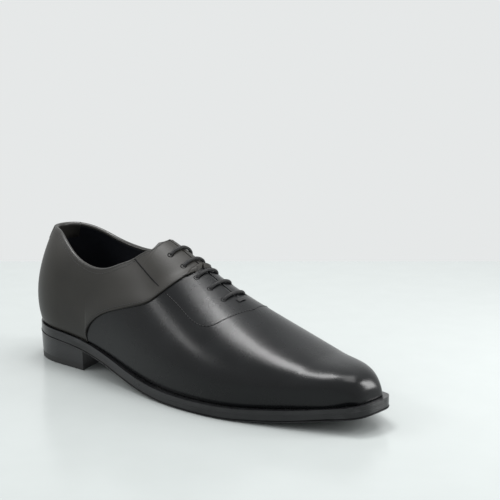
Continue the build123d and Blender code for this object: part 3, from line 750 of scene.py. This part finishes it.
seams, threads = [], []
for side in (-1, 1):
    line, path, normals = seam_line(DIAGONAL, 0.42, 0.05 + FOLD * 0.15, side)
    seams.append(line)
    line, path, normals = seam_line(FACING_U, 0.42, -0.16, side)
    seams.append(line)
    threads += stitches(path + normals * 0.1, normals)
    outer, normal, up, down = quarters[side]
    flank = [i for i, c in enumerate(quarter_columns()) if c[0] == "flank" and c[1] > 74.5]
    flank = [i for i in flank if up[i, -1] >= 6 or outer[i, 0, 0] <= 156]
    share = [np.interp(EDGE_STITCH, up[i], np.arange(up.shape[1])) for i in flank]
    threads += stitches(*face_run(outer, normal, flank, share))
    top = [i for i in range(upto) if outer[i, -1, 0] >= 22]
    share = [np.interp(TOP_STITCH, down[i][::-1], np.arange(down.shape[1])[::-1]) for i in top]
    threads += stitches(*face_run(outer, normal, top, share), pitch=2.2, length=1.5, radius=0.22)
seam_piece = mesh_object("upper_seam_lines", *join(seams))
dress(seam_piece, groove, "edge_leather")
thread_piece = mesh_object("upper_stitches", *join(threads))
dress(thread_piece, thread, "thread")

# ---------------------------------------------------------------- tongue
def tongue_face(x, y, depth):
    p, n = place(x, y)
    return p - n * depth


tongue_x = np.linspace(117, 189, 40)
top_face, low_face = [], []
for x in tongue_x:
    half = np.interp(x, (117, 121, 126, 150, 189), (12.5, 15.8, 16.9, 18.6, 15.4))
    ys = SLIT_Y + np.linspace(-1, 1, 33) * half
    top_face.append([tongue_face(x, y, TONGUE_DEPTH) for y in ys])
    low_face.append([tongue_face(x, y, TONGUE_DEPTH + TONGUE_THICK) for y in ys])
points, faces = thick_grid(np.array(top_face), np.array(low_face))
tongue = mesh_object("tongue_leather", points, faces)
weld(tongue)
bevel = tongue.modifiers.new("rounded_edge", "BEVEL")
bevel.width = 0.0007
bevel.segments = 3
bevel.angle_limit = 0.9
dress(tongue, quarter_leather, "quarter_leather", "tongue", "tongue_lining", body="tongue")

# ---------------------------------------------------------------- lace, holes and bar tack
LACE_LOW = -4.9


def hole(row, side, height):
    p, n = place(HOLE_X[row], SLIT_Y + side * HOLE_GAUGE)
    return p + n * height


def bar(row, side):
    """Dense run out of one hole, over the slit and into the hole opposite."""
    run = []
    for s in np.linspace(-1, 1, 27):
        p, n = place(HOLE_X[row], SLIT_Y + side * -s * HOLE_GAUGE)
        rise = 1.45 * (1 - abs(s) ** 7) - 0.5 * abs(s) ** 7
        run.append(p + n * rise)
    return [hole(row, side, LACE_LOW), hole(row, side, -2.2)] + run + [hole(row, -side, -2.2)]


def inside(row, side, shift):
    p, n = place(HOLE_X[row], SLIT_Y + side * (HOLE_GAUGE + shift))
    return p + n * LACE_LOW


def tail(row, side):
    """Loose end inside the shoe, away from the slit and back from its hole."""
    steps = ((-1.5, 16.0), (-4.0, 20.0), (-7.5, 23.5), (-12.0, 26.0))
    found = [place(HOLE_X[row] + along, SLIT_Y + side * out) for along, out in steps]
    return [p + n * (LACE_LOW - 0.7) for p, n in found]


route = tail(3, -1)[::-1] + bar(3, -1) + [hole(3, 1, LACE_LOW), inside(2, 1, -2.8)]
route += bar(1, 1) + [hole(1, -1, LACE_LOW)] + bar(0, -1) + [hole(0, 1, LACE_LOW), inside(1, 1, 2.8)]
route += bar(2, 1) + [hole(2, -1, LACE_LOW), inside(3, -1, -2.8)] + bar(4, -1) + [hole(4, 1, LACE_LOW)]
route += tail(4, 1)
path = resample(np.array(route), step=0.8)
for _ in range(3):
    path[1:-1] = path[1:-1] + 0.4 * ((path[:-2] + path[2:]) / 2 - path[1:-1])
lace = mesh_object("lace_cord", *tube(path, LACE_R, sides=14))
dress(lace, lace_cord, "lace_cord", "shoelace")

rims = []
for row in range(len(HOLE_X)):
    for side in (-1, 1):
        p, n = place(HOLE_X[row], SLIT_Y + side * HOLE_GAUGE)
        a = np.cross(n, (1, 0, 0))
        a /= np.linalg.norm(a)
        b = np.cross(n, a)
        ring_points, ring_faces = [], []
        for k in range(24):
            c = 2 * math.pi * k / 24
            out = a * math.cos(c) + b * math.sin(c)
            for r, h in ((1.55, -0.6), (1.62, -0.02), (1.8, 0.12), (2.05, 0.1), (2.3, -0.05), (2.3, -0.6)):
                ring_points.append(p + out * r + n * (h + (FOLD * 0.1 if HOLE_X[row] < HOLE_FOLD_END else 0)))
        for k in range(24):
            for m in range(6):
                ring_faces.append((k * 6 + m, k * 6 + (m + 1) % 6, ((k + 1) % 24) * 6 + (m + 1) % 6,
                                   ((k + 1) % 24) * 6 + m))
        rims.append((np.array(ring_points), ring_faces))
holes = mesh_object("punched_hole_rims", *join(rims))
weld(holes)
dress(holes, groove, "edge_leather")

tack = []
for k in range(5):
    ys = np.linspace(-3.8, 3.8, 15)
    found = [place(SLIT_END + 1.9 + k * 0.55, SLIT_Y + y) for y in ys]
    lift = [0.15 + 0.55 * math.cos(y / 3.8 * math.pi / 2) ** 0.5 for y in ys]
    tack.append(tube([p + n * h for (p, n), h in zip(found, lift)], 0.36, sides=8,
                     ups=[n for p, n in found]))
tack_piece = mesh_object("bar_tack_threads", *join(tack))
dress(tack_piece, thread, "thread", "bar_tack")

# ---------------------------------------------------------------- sole edge lines
OUTLINE_STEPS = 420


def edge_ring(height, reach, node):
    """Bead along the outside of a sole node at a height over the tread line."""
    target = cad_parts[node]
    points = []
    for k in range(OUTLINE_STEPS):
        a = 2 * math.pi * k / OUTLINE_STEPS
        aim = np.array([152 + 165 * math.cos(a), 60 * math.sin(a), 0.0])
        axis = np.array([np.clip(152 + 110 * math.cos(a), 40, 270), 0.0, 0.0])
        direction = aim - axis
        direction /= np.linalg.norm(direction)
        at = axis + direction * 90
        for _ in range(3):
            z = float(BOTTOM(np.clip(at[0], 0, 306))) + height
            origin = Vector(((axis + direction * 120) * [1, 1, 0] + [0, 0, z] - ORIGIN) * MM)
            hit, where, n, _i = target.ray_cast(target.matrix_world.inverted() @ origin,
                                                Vector(-direction))
            if not hit:
                break
            at = np.array(target.matrix_world @ where) / MM + ORIGIN
        if hit:
            points.append(at + direction * reach)
    return np.array(points)


def closed_tube(path, radius, sides=8):
    path = resample(np.vstack([path, path[:1]]), step=1.0)[:-1]
    ahead = np.roll(path, -1, 0) - np.roll(path, 1, 0)
    ahead /= np.linalg.norm(ahead, axis=1, keepdims=True)
    points = []
    for p, d in zip(path, ahead):
        u = np.array([0, 0, 1.0]) - d * d[2]
        u /= np.linalg.norm(u)
        v = np.cross(d, u)
        for k in range(sides):
            a = 2 * math.pi * k / sides
            points.append(p + radius * (math.cos(a) * u + math.sin(a) * v))
    n = len(path)
    faces = []
    for i in range(n):
        for k in range(sides):
            m = (k + 1) % sides
            faces.append((i * sides + k, i * sides + m,
                          ((i + 1) % n) * sides + m, ((i + 1) % n) * sides + k))
    return np.array(points), faces


lip = closed_tube(edge_ring(1.0, 0.05, "outsole"), 0.33)
lips = mesh_object("sole_edge_lip", *lip)
dress(lips, groove, "edge_leather")
low_edge = closed_tube(edge_ring(0.35, -0.15, "outsole"), 0.4)
lower = mesh_object("sole_edge_bead", *low_edge)
dress(lower, edge_leather, "edge_leather")

# ---------------------------------------------------------------- CAD nodes that keep their shape
FINISHES = {
    "sock_liner": lining_leather, "heel_counter": board,
    "facing_stay_lateral": board, "facing_stay_medial": board, "insole": board, "eyelets": metal,
    "aglets": plastic, "cork_filler": cork, "shank": steel, "heel_nails": steel,
    "outsole": edge_leather, "welt": edge_leather, "heel_rand": edge_leather, "heel_lift_1": edge_leather,
    "heel_lift_2": edge_leather, "heel_lift_3": edge_leather, "top_piece": heel_rubber,
}
for name, material in FINISHES.items():
    finish_node(name, material)


# ---------------------------------------------------------------- camera, light and floor
AZIMUTH, ELEVATION, DISTANCE, LENS = 37.19, 11.14, 894.4, 72.0
TARGET = np.array([69.7, 171.3, 60.0])


def camera_axes(azimuth, elevation):
    a, e = math.radians(azimuth), math.radians(elevation)
    return Vector((math.sin(a) * math.cos(e), -math.cos(a) * math.cos(e), math.sin(e)))


camera_data = bpy.data.cameras.new("camera")
camera_data.lens = LENS
camera_data.clip_start = 0.01
camera = bpy.data.objects.new("camera", camera_data)
bpy.context.collection.objects.link(camera)
target = Vector((TARGET - ORIGIN) * MM)
back = camera_axes(AZIMUTH, ELEVATION)
camera.location = target + back * DISTANCE * MM
camera.rotation_euler = back.to_track_quat("Z", "Y").to_euler()
bpy.context.scene.camera = camera


def area_light(name, location, look, size, power, color=(1, 1, 1)):
    data = bpy.data.lights.new(name, "AREA")
    data.shape = "RECTANGLE"
    data.size, data.size_y = size
    data.energy = power
    data.color = color
    lamp = bpy.data.objects.new(name, data)
    lamp.location = location
    direction = Vector(look) - Vector(location)
    lamp.rotation_euler = direction.to_track_quat("-Z", "Y").to_euler()
    bpy.context.collection.objects.link(lamp)
    return lamp


area_light("key", (-0.22, 0.12, 1.2), (0.0, 0, 0.05), (0.42, 0.3), 9)
area_light("back", (0.35, 0.38, 1.3), (0.05, 0, 0.03), (0.8, 0.6), 7)
area_light("fill_left", (-1.0, -0.9, 1.0), (0, 0, 0.05), (0.9, 0.3), 6)
area_light("toe", (0.47, 0.32, 0.24), (0.145, 0, 0.03), (0.12, 0.26), 1.6)
bpy.context.scene.view_settings.view_transform = "Standard"

world = bpy.data.worlds.new("studio")
world.use_nodes = True
world.node_tree.nodes["Background"].inputs["Color"].default_value = (0.93, 0.95, 0.95, 1)
world.node_tree.nodes["Background"].inputs["Strength"].default_value = 0.85
bpy.context.scene.world = world


floor_paint = principled("floor_paint", (0.43, 0.455, 0.45), 0.2, (), spread=0.01, specular=0.3,
                         rough_spread=0.02)


def floor():
    """Pale floor that ends a little way behind the shoe, square to the camera."""
    away = np.array([-math.sin(math.radians(AZIMUTH)), math.cos(math.radians(AZIMUTH)), 0])
    along = np.array([away[1], -away[0], 0])
    points = [away * run + along * side for run, side in ((-6, -6), (-6, 6), (0.425, 6), (0.425, -6))]
    mesh = bpy.data.meshes.new("floor")
    mesh.from_pydata([tuple(p) for p in points], [], [(0, 1, 2, 3)])
    piece = bpy.data.objects.new("floor", mesh)
    bpy.context.collection.objects.link(piece)
    piece.data.materials.append(floor_paint)


floor()
